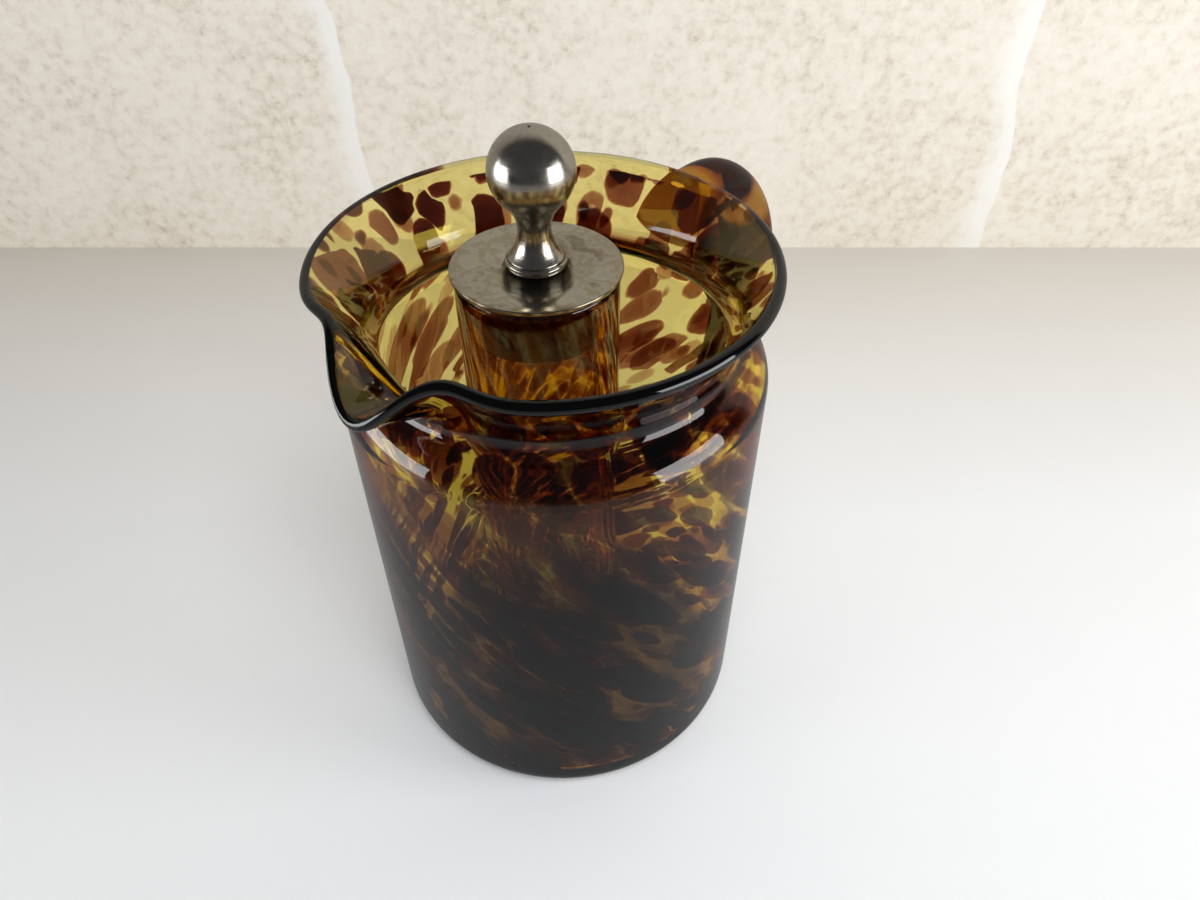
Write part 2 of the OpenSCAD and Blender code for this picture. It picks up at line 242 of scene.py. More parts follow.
def makeStage():
    turn = Matrix.Rotation(aheadTurn, 4, "Z")
    table = bmesh.new()
    bmesh.ops.create_grid(table, x_segments=1, y_segments=1, size=studio["tableSize"] / 2 * mm)
    bmesh.ops.transform(table, matrix=Matrix.Translation((0, 0, -studio["tableDrop"] * mm)), verts=table.verts[:])
    wall = bmesh.new()
    bmesh.ops.create_grid(wall, x_segments=1, y_segments=1, size=0.5)
    wallMiddle = studio["wallHeight"] / 2 - studio["tableDrop"]
    stand = Matrix.Translation((0, studio["wallDistance"] * mm, wallMiddle * mm))
    size = Matrix.Diagonal((studio["wallWidth"] * mm, studio["wallHeight"] * mm, 1, 1))
    bmesh.ops.transform(wall, matrix=turn @ stand @ Matrix.Rotation(math.radians(90), 4, "X") @ size,
                        verts=wall.verts[:])
    for name, bm, material in (("table", table, makeTableMaterial()), ("backdrop", wall, makeWallMaterial())):
        mesh = bpy.data.meshes.new(name)
        bm.to_mesh(mesh)
        bm.free()
        mesh.materials.append(material)
        standing = bpy.data.objects.new(name, mesh)
        bpy.context.scene.collection.objects.link(standing)
    for name, look in lamps.items():
        lamp = bpy.data.lights.new(name, "AREA")
        lamp.shape = "RECTANGLE"
        lamp.size, lamp.size_y = (s * mm for s in look["size"])
        lamp.energy = look["watts"]
        lamp.color = studio["lampColour"]
        holder = bpy.data.objects.new(name, lamp)
        place = turn @ Vector((look["side"] * mm, look["ahead"] * mm, look["height"] * mm))
        holder.location = place
        holder.rotation_euler = (place - Vector((0, 0, studio["aimHeight"] * mm))).to_track_quat("Z", "Y").to_euler()
        holder.visible_glossy = look["seen"] == "mirrors"
        holder.visible_diffuse = look["seen"] != "mirrors"
        holder.visible_transmission = look["seen"] == "through"
        bpy.context.scene.collection.objects.link(holder)


def makeWorld():
    # The room: dim overhead light, darker towards the horizon; seen directly it is a plain pale grey
    world = bpy.data.worlds.new("room")
    world.use_nodes = True
    tree = world.node_tree
    tree.nodes.clear()
    place = addNode(tree, "ShaderNodeTexCoord")
    parts = addNode(tree, "ShaderNodeSeparateXYZ", links={"Vector": place.outputs["Generated"]})
    sky = setRamp(addNode(tree, "ShaderNodeValToRGB", links={"Fac": parts.outputs["Z"]}),
                  [(0.0, linear("#46464A")), (0.4, linear("#4C4C50")), (1.0, linear("#46464A"))])
    path = addNode(tree, "ShaderNodeLightPath")
    colour = addNode(tree, "ShaderNodeMix", {"data_type": "RGBA", 7: linear("#E2E0DC")},
                     {0: path.outputs["Is Camera Ray"], 6: sky.outputs["Color"]})
    light = addNode(tree, "ShaderNodeBackground", links={"Color": colour.outputs[2]})
    addNode(tree, "ShaderNodeOutputWorld", links={"Surface": light.outputs[0]})
    bpy.context.scene.world = world


# Glass: soda-lime gathers of amber glass, rolled in chips of dark brown glass and blown. The amber deepens with the
# thickness of the glass, so it is an absorption in the volume; the melted chips lie in the outer skin
glass = {
    "ior": 1.5, "density": 300.0, "amber": (0.925, 0.833, 0.103),
    "chipAbsorption": (2.8, 5.2, 5.6), "deepest": 2.0, "stops": 12,
    "wobbleScale": 1.3, "scatter": 0.85, "edgeDepth": 0.75, "heart": 0.35,
    "swell": 22, "swellDepth": 0.22, "swellStrength": 0.6, "seededMost": 0.97,
}


def chipTint(depth):
    # the skin's colour over a chip of this depth: it is crossed once, which tints by the colour's square root
    return tuple(math.exp(-2 * a * depth) for a in glass["chipAbsorption"]) + (1.0,)


def chipLayer(tree, place, crowding, look):
    # One scatter of melted chips: cells of the given spacing, drawn out along the glass, each chip its own size
    # and depth. A chip is deepest in its middle
    size = 1 / (look["spacing"] * mm)
    cells = addNode(tree, "ShaderNodeMapping", {"Location": look["offset"],
                                                "Scale": (size, size, size / look["drawn"])}, {"Vector": place})
    wobble = addNode(tree, "ShaderNodeTexNoise", {"Scale": glass["wobbleScale"], "Detail": 2.0},
                     {"Vector": cells.outputs[0]})
    shift = addNode(tree, "ShaderNodeVectorMath", {"operation": "MULTIPLY_ADD", 1: (look["wobble"],) * 3,
                                                   2: (-look["wobble"] / 2,) * 3}, {0: wobble.outputs["Color"]})
    bent = addNode(tree, "ShaderNodeVectorMath", {"operation": "ADD"}, {0: cells.outputs[0], 1: shift.outputs[0]})
    chip = addNode(tree, "ShaderNodeTexVoronoi", {"Scale": 1.0, "Randomness": glass["scatter"]},
                   {"Vector": bent.outputs[0]})
    draw = addNode(tree, "ShaderNodeSeparateColor", links={"Color": chip.outputs["Color"]})
    radius = addNode(tree, "ShaderNodeMapRange", {"To Min": look["smallest"], "To Max": look["largest"]},
                     {"Value": draw.outputs[0]})
    grown = addNode(tree, "ShaderNodeMath", {"operation": "MULTIPLY_ADD", 1: look["growth"]},
                    {0: crowding, 2: radius.outputs[0]})
    inside = addNode(tree, "ShaderNodeMath", {"operation": "SUBTRACT"},
                     {0: grown.outputs[0], 1: chip.outputs["Distance"]})
    profile = setRamp(addNode(tree, "ShaderNodeValToRGB", links={"Fac": inside.outputs[0]}),
                      [(0.0, (0, 0, 0, 1)), (look["edge"], (glass["edgeDepth"],) * 3 + (1,)),
                       (glass["heart"], (1, 1, 1, 1))])
    depth = addNode(tree, "ShaderNodeMapRange", {"To Min": look["thin"], "To Max": look["thick"]},
                    {"Value": draw.outputs[1]})
    return addNode(tree, "ShaderNodeMath", {"operation": "MULTIPLY"},
                   {0: profile.outputs["Color"], 1: depth.outputs[0]})


def makeGlassMaterial(name, layers, density=glass["density"], seeded=None):
    material, tree = newMaterial(name)
    place, crowding, depth, darkGlassAndShade = (addNode(tree, "ShaderNodeAttribute", {"attribute_name": attribute})
                                      for attribute in ("drawnPlace", "crowding", "depth", "darkGlassAndShade"))
    # the points' dark glass and painted shade start the depth, and the chips add to it
    total = addNode(tree, "ShaderNodeMath", {"operation": "MAXIMUM", 1: 0.0}, {0: darkGlassAndShade.outputs["Fac"]})
    for look in layers:
        layer = chipLayer(tree, place.outputs["Vector"], crowding.outputs["Fac"], look)
        total = addNode(tree, "ShaderNodeMath", {"operation": "MULTIPLY_ADD"},
                        {0: layer.outputs[0], 1: depth.outputs["Fac"], 2: total.outputs[0]})
    share = addNode(tree, "ShaderNodeMath", {"operation": "DIVIDE", 1: glass["deepest"]}, {0: total.outputs[0]})
    stops = [i / (glass["stops"] - 1) for i in range(glass["stops"])]
    tint = setRamp(addNode(tree, "ShaderNodeValToRGB", links={"Fac": share.outputs[0]}),
                   [(i * i, chipTint(i * i * glass["deepest"])) for i in stops])
    swell = addNode(tree, "ShaderNodeTexNoise", {"Scale": 1 / (glass["swell"] * mm), "Detail": 1.0},
                    {"Vector": place.outputs["Vector"]})
    waves = addNode(tree, "ShaderNodeBump",
                    {"Strength": glass["swellStrength"], "Distance": glass["swellDepth"] * mm},
                    {"Height": swell.outputs["Fac"]})
    shader = addNode(tree, "ShaderNodeBsdfPrincipled",
                     {"Roughness": 0.0, "IOR": glass["ior"], "Transmission Weight": 1.0},
                     {"Base Color": tint.outputs["Color"], "Normal": waves.outputs[0]})
    if seeded:
        # fine bubbles scatter the light, most where the hot glass was pressed on, and it glows in its own colour
        mask = addNode(tree, "ShaderNodeAttribute", {"attribute_name": "seeded"})
        cover = addNode(tree, "ShaderNodeMath", {"operation": "MULTIPLY", 1: glass["seededMost"]},
                        {0: mask.outputs["Fac"]})
        tone = addNode(tree, "ShaderNodeMix", {"data_type": "RGBA", "blend_type": "MULTIPLY", "Factor": 1.0,
                                               6: seeded}, {7: tint.outputs["Color"]})
        through = addNode(tree, "ShaderNodeBsdfTranslucent", links={"Color": tone.outputs[2]})
        back = addNode(tree, "ShaderNodeBsdfDiffuse", links={"Color": tone.outputs[2]})
        milky = addNode(tree, "ShaderNodeMixShader", links={1: through.outputs[0], 2: back.outputs[0]})
        shader = addNode(tree, "ShaderNodeMixShader", links={
            0: cover.outputs[0], 1: shader.outputs[0], 2: milky.outputs[0]})
    body = addNode(tree, "ShaderNodeVolumeAbsorption", {"Color": glass["amber"] + (1.0,), "Density": density})
    addNode(tree, "ShaderNodeOutputMaterial", links={"Surface": shader.outputs[0], "Volume": body.outputs[0]})
    return material


def smooth(low, high, value):
    # rises from 0 at low to 1 at high, and falls if low is the larger
    share = max(0.0, min(1.0, (value - low) / (high - low)))
    return share * share * (3 - 2 * share)


def mix(start, end, share):
    return start + (end - start) * share


def paintGlass(piece, paint, *more):
    # what the chips need to know of each point: where it lay before the glass was drawn and twisted, how closely the
    # chips lie there, how deep they are (none inside), and how much dark glass is rolled in evenly or painted shade
    # laid on
    mesh = piece.data
    names = ("drawnPlace", "crowding", "depth", "darkGlassAndShade") + more
    for name in names:
        mesh.attributes.new(name, "FLOAT_VECTOR" if name == "drawnPlace" else "FLOAT", "POINT")
    own = {name: mesh.attributes[name].data for name in ("up", "side", "length") if name in mesh.attributes}
    painted = [mesh.attributes[name].data for name in names]
    for i, v in enumerate(mesh.vertices):
        values = paint(v.co / mm, *(data[i].value for data in own.values()))
        painted[0][i].vector = values[0] * mm
        for data, value in zip(painted[1:], values[1:]):
            data[i].value = value


# Pitcher: a blown body with a flared mouth, tooled to a spout opposite the handle
pitcher = {
    "bodyRadius": 75, "wall": 4.5, "floor": 8, "footRound": 10, "floorRound": 7,
    "shoulderHeight": 167, "shoulderRound": 15, "neckIn": 11.2, "neckRise": 18.5,
    "lipOut": 11.8, "lipRise": 24, "lipThickness": 4.2, "flareBend": 0.6, "mouthShift": (-0.8, 2.0),
    "spoutReach": 8.5, "spoutDrop": 14, "spoutReachAngle": 12, "spoutDropAngle": 10.5,
    "pinchIn": 4, "pinchRise": 1.5, "pinchAt": 19, "pinchAngle": 10,
    "around": 256, "flareSteps": 16, "lipSteps": 12, "wallSteps": 22, "baseRings": (0, 10, 20, 30, 40, 50),
    "twist": 0.012, "twistEnds": 205, "twistEases": 60,
    # how the chips lie, in zones that run from the first number to the second: Turn in degrees round from the thin
    # side, Height and Radius in millimetres
    "thinSide": 39, "thinTurn": (40, 120), "thinHeight": (95, 70), "belowNeck": (-6, 16), "lowHeight": (150, 95),
    "flareTurn": (20, 70), "flareCrowding": (0.5, 0.8), "thinCrowding": 0.35, "frontCrowding": 0.8,
    "lowCrowding": 0.6, "thinDepth": 0.55, "frontDepth": 0.26, "lowDepth": 1.11,
    "fusedWidth": (15, 12), "fusedAbove": 2, "fusedLess": 0.6,
    "clearLip": (0.88, 0.95), "clearLipTurn": (60, 30), "cleared": 4,
    "footClearAt": -140, "footTurn": (50, 30), "footHeight": (14, 8), "footRadius": (54, 58),
    # painted shade, laid on as dark glass in the skin: along the lip but at the back, in a line in the neck's crease
    # and under the base. The skin is also a little darker low on the front
    "lipShade": 1.6, "lipCrisp": 3, "lipOutsideTurn": (15, 45), "lipInsideTurn": (35, 85), "neckShade": 0.7,
    "neckLine": 2, "underShade": 0.7, "underRadius": (66, 58), "lowDark": 0.12, "lowTurn": (60, 120),
}
bodyChips = [
    {"spacing": 12.5, "drawn": 1.9, "offset": (3, 1, 2), "wobble": 0.3, "smallest": 0.2, "largest": 0.62,
     "growth": 0.2, "edge": 0.05, "thin": 0.8, "thick": 1.25},
    {"spacing": 10.5, "drawn": 1.9, "offset": (11, 4, 6), "wobble": 0.3, "smallest": 0.15, "largest": 0.56,
     "growth": 0.08, "edge": 0.07, "thin": 0.25, "thick": 0.6},
    {"spacing": 22, "drawn": 1.6, "offset": (7, 5, 9), "wobble": 0.3, "smallest": -0.4, "largest": 0.5,
     "growth": 0.3, "edge": 0.03, "thin": 0.5, "thick": 0.9},
]
neckRadius = pitcher["bodyRadius"] - pitcher["neckIn"]
neckHeight = pitcher["shoulderHeight"] + pitcher["neckRise"]
neckMiddle = neckRadius - pitcher["wall"] / 2
lipRadius = neckRadius + pitcher["lipOut"]


def lobe(angle, width):
    return math.exp(-(angle / width) ** 2)


def lipAt(angle):
    # radius and height of the lip's middle line, by the angle from the spout
    pinches = lobe(angle - pitcher["pinchAt"], pitcher["pinchAngle"]) + \
        lobe(angle + pitcher["pinchAt"], pitcher["pinchAngle"])
    radius = lipRadius + pitcher["spoutReach"] * lobe(angle, pitcher["spoutReachAngle"]) - \
        pitcher["pinchIn"] * pinches
    rise = pitcher["lipRise"] - pitcher["spoutDrop"] * lobe(angle, pitcher["spoutDropAngle"]) + \
        pitcher["pinchRise"] * pinches
    return radius, rise


def mouthPoint(angle, up, side):
    # a point of the flare: up runs from 0 at the neck to 1 at the lip, side from -1 outside to 1 inside
    radius, rise = lipAt(angle)
    bend = pitcher["flareBend"]
    reach = (radius - neckMiddle) / (math.hypot(bend, 1) - bend)
    slope = math.atan2(rise, reach * up / math.hypot(bend, up))
    half = (pitcher["wall"] * (1 - up) + pitcher["lipThickness"] * up) / 2
    lean = slope + side * math.pi / 2
    return (neckMiddle + reach * (math.hypot(bend, up) - bend) + half * math.cos(lean),
            neckHeight + rise * up + half * math.sin(lean))


def bodySection(solid=False):
    # half section from the middle of the base, up the outside, over the lip and down the inside, as
    # (radius, height, up, side). As a solid it closes over the mouth instead
    p = pitcher
    shoulderX = p["bodyRadius"] - p["shoulderRound"]
    hollowIn = neckRadius - shoulderX
    hollow = (hollowIn ** 2 + p["neckRise"] ** 2 - p["shoulderRound"] ** 2) / (2 * (p["shoulderRound"] - hollowIn))
    hollowX = neckRadius + hollow
    meets = math.degrees(math.atan2(p["neckRise"], hollowX - shoulderX))
    rises = p["shoulderHeight"] - p["footRound"]
    outside = [(x, 0) for x in p["baseRings"]]
    outside += arc(p["bodyRadius"] - p["footRound"], p["footRound"], p["footRound"], -90, 0, 12)
    outside += [(p["bodyRadius"], p["footRound"] + rises * i / p["wallSteps"]) for i in range(1, p["wallSteps"])]
    outside += arc(shoulderX, p["shoulderHeight"], p["shoulderRound"], 0, meets, 12)
    outside += arc(hollowX, neckHeight, hollow, 180 + meets, 180, 8)[1:]
    if solid:
        flare = [(i / p["flareSteps"], -1) for i in range(1, p["flareSteps"] + 1)]
        return [(x, z, 0, -1) for x, z in outside] + \
            [mouthPoint(180, up, side) + (up, side) for up, side in flare] + [(0, neckHeight + p["lipRise"], 0, -1)]
    inside = arc(hollowX, neckHeight, hollow + p["wall"], 180, 180 + meets, 10)
    inside += arc(shoulderX, p["shoulderHeight"], p["shoulderRound"] - p["wall"], meets, 0, 10)[1:]
    corner = p["floor"] + p["floorRound"]
    inside += [(p["bodyRadius"] - p["wall"], corner + (p["shoulderHeight"] - corner) * (1 - i / p["wallSteps"]))
               for i in range(1, p["wallSteps"])]
    inside += arc(p["bodyRadius"] - p["wall"] - p["floorRound"], corner, p["floorRound"], 0, -90, 10)
    inside += [(x, p["floor"]) for x in reversed(p["baseRings"])]
    flare = [(i / p["flareSteps"], -1) for i in range(1, p["flareSteps"])]
    flare += [(1, -1 + 2 * i / p["lipSteps"]) for i in range(p["lipSteps"] + 1)]
    flare += [(1 - i / p["flareSteps"], 1) for i in range(1, p["flareSteps"])]
    return [(x, z, 0, -1) for x, z in outside] + \
        [mouthPoint(180, up, side) + (up, side) for up, side in flare] + [(x, z, 0, 1) for x, z in inside]


def shapeMouth(bm):
    # pulls the spout and the pressed-in places beside it out of the plain flare
    up = bm.verts.layers.float["up"]
    side = bm.verts.layers.float["side"]
    shiftX, shiftY = pitcher["mouthShift"]
    for v in bm.verts:
        if v[up] > 0:
            around = math.atan2(v.co.y, v.co.x)
            angle = math.degrees(around) % 360 - 180
            radius, height = mouthPoint(angle, v[up], v[side])
            lift = max(0, (height - neckHeight) / pitcher["lipRise"])
            v.co = ((radius * math.cos(around) + shiftX * lift) * mm,
                    (radius * math.sin(around) + shiftY * lift) * mm, height * mm)


def pitcherTwist(height):
    # how far the glass was turned while it was blown, in radians: a steady helix that dies out in the flare
    ends = pitcher["twistEnds"]
    eases = pitcher["twistEases"]
    past = max(0.0, min(height, ends) - (ends - eases))
    return pitcher["twist"] * (min(height, ends) - past * past / (2 * eases))


def paintBody(place, up, side, length):
    # the side by the handle was blown out thinner: its chips are paler and lie further apart. They lie closest on the
    # front's shoulder and are deepest towards the foot. They are fewer and paler where the handle was fused on, and
    # there are none in the thin side's lip and in one stretch of the foot
    p = pitcher
    turn = (math.degrees(math.atan2(place.y, place.x)) - p["thinSide"] + 180) % 360 - 180
    away = abs(turn)
    radius = place.xy.length
    outside = (1 - side) / 2
    front = max(smooth(*p["thinTurn"], away), smooth(*p["thinHeight"], place.z))
    below = smooth(*p["belowNeck"], neckHeight - place.z)
    low = smooth(*p["lowHeight"], place.z)
    crowding = mix(mix(*p["flareCrowding"], smooth(*p["flareTurn"], away)),
                   mix(p["thinCrowding"], mix(p["frontCrowding"], p["lowCrowding"], low), front), below)
    depth = outside * mix(1, mix(p["thinDepth"], mix(p["frontDepth"], p["lowDepth"], low), front), below)
    onHandle = place.x > 0 and place.z > neckHeight + p["fusedAbove"]
    fused = smooth(*p["fusedWidth"], abs(place.y)) if onHandle else 0
    foot = smooth(*p["footHeight"], place.z) * smooth(*p["footRadius"], radius) * \
        smooth(*p["footTurn"], abs(turn - p["footClearAt"]))
    lip = smooth(*p["clearLip"], up) * smooth(*p["clearLipTurn"], away)
    crowding -= p["cleared"] * (foot + lip) + p["fusedLess"] * fused
    if up < 0.5:
        # painted shade: a thin dark line on the inside, in the neck's crease
        neck = math.exp(-((place.z - neckHeight + 1) / p["neckLine"]) ** 2) if side > 0 else 0
        # painted shade: the base is painted dark underneath, where it stands on the table
        under = smooth(*p["underRadius"], radius) if place.z < 0.5 else 0
        darkGlassAndShade = p["neckShade"] * neck + p["underShade"] * under + \
            p["lowDark"] * low * smooth(*p["lowTurn"], away) * outside
    else:
        # painted shade: the lip is painted dark along the front and sides, and left clear at the back
        # below zero off the lip, so that the dark line ends crisply between two rows of points
        onLip = up == 1 and abs(side) < 0.95
        zone = p["lipOutsideTurn"] if side < -0.3 else p["lipInsideTurn"]
        darkGlassAndShade = mix(-p["lipCrisp"], p["lipShade"], smooth(*zone, away) if onLip else 0)
    turned = Matrix.Rotation(pitcherTwist(place.z), 3, "Z") @ Vector((place.x, place.y, 0))
    return Vector((turned.x, turned.y, length / mm)), crowding, depth * (1 - p["fusedLess"] * fused), darkGlassAndShade


def makeBody(material):
    bm = spinSection(bodySection(), pitcher["around"])
    shapeMouth(bm)
    bmesh.ops.recalc_face_normals(bm, faces=bm.faces[:])
    body = makePiece("blown_body", bm, material, "pitcher", "pitcher_body")
    paintGlass(body, paintBody)


# Handle: a rod of the same glass, bent to a loop and pressed to the flare and to the body while hot
handle = {
    "width": 23, "thickness": 21, "taper": 0.18, "splay": 0.16, "splayLength": 0.07,
    "reach": 58.5, "height": 141, "rise": 62, "drop": 76, "sag": 9,
    "topAngle": 100, "footAngle": -95, "sagAngle": 62, "rings": 90, "sides": 48, "gap": 0.03,
    "length": 232, "clearEnd": (17, 29), "dark": 0.18, "seeded": 0.5, "pressed": (3, 0.3),
    "patch": (-2, -11, 70), "patchSize": (17, 10.2), "patchLess": 2, "patchClearer": 0.25,
    "density": 400.0, "milk": "#FFBC38",
}
handleChips = [
    {"spacing": 26, "drawn": 1.3, "offset": (1, 6, 3), "wobble": 0.4, "smallest": -0.2, "largest": 0.3,
     "growth": 0.6, "edge": 0.04, "thin": 0.3, "thick": 0.7},
    {"spacing": 12, "drawn": 1.6, "offset": (2, 8, 5), "wobble": 0.3, "smallest": 0.0, "largest": 0.4,
     "growth": 0.2, "edge": 0.06, "thin": 0.15, "thick": 0.4},
]


def handleMiddle(along):
    h = handle
    angle = h["topAngle"] + (h["footAngle"] - h["topAngle"]) * along
    sag = h["sag"] * max(0, (angle - h["sagAngle"]) / (h["topAngle"] - h["sagAngle"])) ** 2
    turn = math.radians(angle)
    return Vector((pitcher["bodyRadius"] + h["reach"] * math.cos(turn), 0,
                   h["height"] + (h["rise"] if angle > 0 else h["drop"]) * math.sin(turn) - sag)) * mm


def handleRing(along):
    # the matrix that places a unit ring, square to the handle's middle line
    ahead = (handleMiddle(along + 0.01) - handleMiddle(along - 0.01)).normalized()
    across = Vector((0, 1, 0))
    size = (1 - handle["taper"] * along) * \
        (1 + handle["splay"] * (lobe(along, handle["splayLength"]) + lobe(1 - along, handle["splayLength"])))
    turn = Matrix((across.cross(ahead), across, ahead)).transposed().to_4x4()
    scale = Matrix.Diagonal((handle["thickness"] / 2 * size * mm, handle["width"] / 2 * size * mm, mm, 1))
    return Matrix.Translation(handleMiddle(along)) @ turn @ scale


def paintHandle(place, skin):
    # along the rod from its top end, which is clear, drawn from the gather without chips. One side of the loop has
    # a clear amber patch. The glass is slightly milky, and most where it was pressed to the flare
    h = handle
    turn = math.atan2((place.z - h["height"]) / h["drop"], (place.x - pitcher["bodyRadius"]) / h["reach"])
    along = (math.radians(h["topAngle"]) - turn) / math.radians(h["topAngle"] - h["footAngle"])
    length = along * h["length"]
    out = math.hypot(place.x - pitcher["bodyRadius"], place.z - h["height"]) - h["reach"]
    patch = smooth(*h["patchSize"], (Vector((out, place.y, length)) - Vector(h["patch"])).length)
    crowding = smooth(*h["clearEnd"], length) * (1 - patch)
    pressed = smooth(*h["pressed"], skin.find_nearest(place * mm)[3] / mm) if place.z > neckHeight else 0
    seeded = max(h["seeded"] * (1 - h["patchClearer"] * patch), pressed)
    return Vector((out, place.y, length)), crowding - h["patchLess"] * patch, 1.0, h["dark"] * crowding, seeded


def makeHandle(material):
    bm = bmesh.new()
    before = handleRing(0)
    bmesh.ops.create_circle(bm, cap_ends=True, radius=1, segments=handle["sides"], matrix=before)
    edges = bm.edges[:]
    for i in range(1, handle["rings"] + 1):
        made = bmesh.ops.extrude_edge_only(bm, edges=edges)["geom"]
        ring = [g for g in made if isinstance(g, bmesh.types.BMVert)]
        edges = [g for g in made if isinstance(g, bmesh.types.BMEdge) and all(v in ring for v in g.verts)]
        after = handleRing(i / handle["rings"])
        bmesh.ops.transform(bm, matrix=after @ before.inverted(), verts=ring)
        before = after
    bmesh.ops.holes_fill(bm, edges=edges, sides=0)
    bmesh.ops.recalc_face_normals(bm, faces=bm.faces[:])
    rod = makePiece("handle_rod", bm, material, "pitcher", "handle")
    skin = trimToBody(rod)
    rod.data.shade_smooth()
    paintGlass(rod, lambda place, *others: paintHandle(place, skin), "seeded")


def trimToBody(rod):
    # cuts the rod's ends to the pitcher's outside, a hair off it, and gives back that outside
    bm = spinSection(bodySection(True), pitcher["around"])
    shapeMouth(bm)
    bmesh.ops.recalc_face_normals(bm, faces=bm.faces[:])
    bm.normal_update()
    for v in bm.verts:
        v.co += v.normal * handle["gap"] * mm
    skin = BVHTree.FromBMesh(bm)
    mesh = bpy.data.meshes.new("cutter")
    bm.to_mesh(mesh)
    bm.free()
    cutter = bpy.data.objects.new("cutter", mesh)
    bpy.context.scene.collection.objects.link(cutter)
    cut = rod.modifiers.new("cut", "BOOLEAN")
    cut.operation = "DIFFERENCE"
    cut.object = cutter
    cut.solver = "EXACT"
    trimmed = bpy.data.meshes.new_from_object(rod.evaluated_get(bpy.context.evaluated_depsgraph_get()))
    rod.modifiers.clear()
    rod.data = trimmed
    bpy.data.objects.remove(cutter)
    return skin


def boxMiddle(node):
    # the middle of a solid's base in metres, and its radius and height in millimetres
    low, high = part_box(node)
    return ((low.x + high.x) / 2, (low.y + high.y) / 2, low.z), (high.x - low.x) / 2 / mm, (high.z - low.z) / mm


# Ice tube: a thick loose tube of the same amber, rolled in finer chips. It stands where its solid stands. Towards the
# rim its glass is painted darker and its chips deeper, as painted shade under the lid
tube = {"wall": 7, "floor": 9, "footRound": 4, "rimRound": 2.8, "clear": 0.1, "around": 192, "wallSteps": 30,
        "twist": 0.03, "lidShadeReach": 30, "lidShade": 0.15, "density": 440.0}
tubeChips = [
    {"spacing": 6.5, "drawn": 1.8, "offset": (5, 2, 4), "wobble": 0.5, "smallest": 0.3, "largest": 0.66,
     "growth": 0.0, "edge": 0.10, "thin": 0.1, "thick": 0.34},
    {"spacing": 4.5, "drawn": 1.7, "offset": (8, 3, 7), "wobble": 0.5, "smallest": 0.1, "largest": 0.55,
     "growth": 0.0, "edge": 0.15, "thin": 0.05, "thick": 0.18},
]


def makeTube(material):
    t = tube
    base, radius, tall = boxMiddle("ice_tube")
    middle = (base[0], base[1], base[2] + t["clear"] * mm)
    height = tall - t["clear"]
    bore = radius - t["wall"]
    straight = height - t["footRound"] - t["rimRound"]
    outside = [(i * 6, 0) for i in range(4)] + arc(radius - t["footRound"], t["footRound"], t["footRound"], -90, 0, 8)
    outside += [(radius, t["footRound"] + straight * i / t["wallSteps"]) for i in range(1, t["wallSteps"])]
    outside += arc(radius - t["rimRound"], height - t["rimRound"], t["rimRound"], 0, 90, 8)
    corner = t["floor"] + t["wall"]
    inside = arc(bore + t["rimRound"], height - t["rimRound"], t["rimRound"], 90, 180, 8)
    inside += [(bore, corner + (height - t["rimRound"] - corner) * (1 - i / t["wallSteps"]))
               for i in range(1, t["wallSteps"])]
    inside += arc(bore - t["wall"], corner, t["wall"], 0, -90, 8) + [(7, t["floor"]), (0, t["floor"])]
    bm = spinSection([(x, z, 0, -1) for x, z in outside] + [(x, z, 0, 1) for x, z in inside], t["around"], middle)
    piece = makePiece("ice_tube_glass", bm, material, "tube", "ice_tube")

    def paintTube(place, up, side, length):
        off = Vector((place.x - base[0] / mm, place.y - base[1] / mm, 0))
        turned = Matrix.Rotation(t["twist"] * place.z, 3, "Z") @ off
        # painted shade under the lid: the glass darkens and the chips deepen towards the rim
        underLid = smooth(t["lidShadeReach"], 0, base[2] / mm + tall - place.z)
        return Vector((turned.x, turned.y, length / mm)), 1.0, (1 - side) / 2 * (1 + underLid), t["lidShade"] * underLid

    paintGlass(piece, paintTube)


# Lid: a spun plate, a drawn cup under it that plugs the tube, and a turned ball knob, all silver plated
lid = {
    "plateEdge": 0.5, "hole": 2.2, "cupWall": 1.2, "cupRound": 2.5,
    "ballRadius": 13.7, "ballHeight": 31.8, "stemRadius": 5.5, "stemTop": 13.2, "stemFlare": 15.0, "stemFoot": 43.4,
    "beadReach": 9.3, "beadRadius": 1.0, "beadAngle": 72.5, "ringRadius": 9.7, "ringHeight": 0.9,
    "markRadius": 0.5, "markDepth": 1.0, "tapRadius": 1.7, "tapDepth": 10.5, "around": 160,
}


metals = {
    # silver plate on spun brass sheet, years old: warm grey with brownish and paler clouds of tarnish
    "disc": {"lineSpacing": 0.5, "lineDepth": 0.05, "cloudSize": 12, "smooth": 0.12, "worn": 0.24,
             "tones": [(0.34, linear("#B4B1A6")), (0.44, linear("#C3BCA8")), (0.5, linear("#ACA28A")),
                       (0.56, linear("#C0B9A9")), (0.64, linear("#9A8C72")), (0.74, linear("#B0A893"))]},
    # the same plate inside the tube, never polished: brown and dull
    "cup": {"lineSpacing": 0.8, "lineDepth": 0.05, "cloudSize": 15, "smooth": 0.35, "worn": 0.5,
            "tones": [(0.3, linear("#5A5044")), (0.5, linear("#6A5E4E")), (0.7, linear("#4E4232"))]},
    # silver plate on turned brass, bright from handling, with the lathe's rings
    "knob": {"lineSpacing": 0.4, "lineDepth": 0.38, "cloudSize": 5, "smooth": 0.13, "worn": 0.3,
             "tones": [(0.3, linear("#B0ABA1")), (0.5, linear("#BCB6AA")), (0.7, linear("#A2988A"))]},
    # turned stainless steel, of the screw and its washer: plain grey with a satin shine
    "screw": {"lineSpacing": 0.3, "lineDepth": 0.3, "cloudSize": 4, "smooth": 0.25, "worn": 0.4,
              "tones": [(0.3, linear("#8E8F90")), (0.5, linear("#9A9A9A")), (0.7, linear("#828180"))]},
}


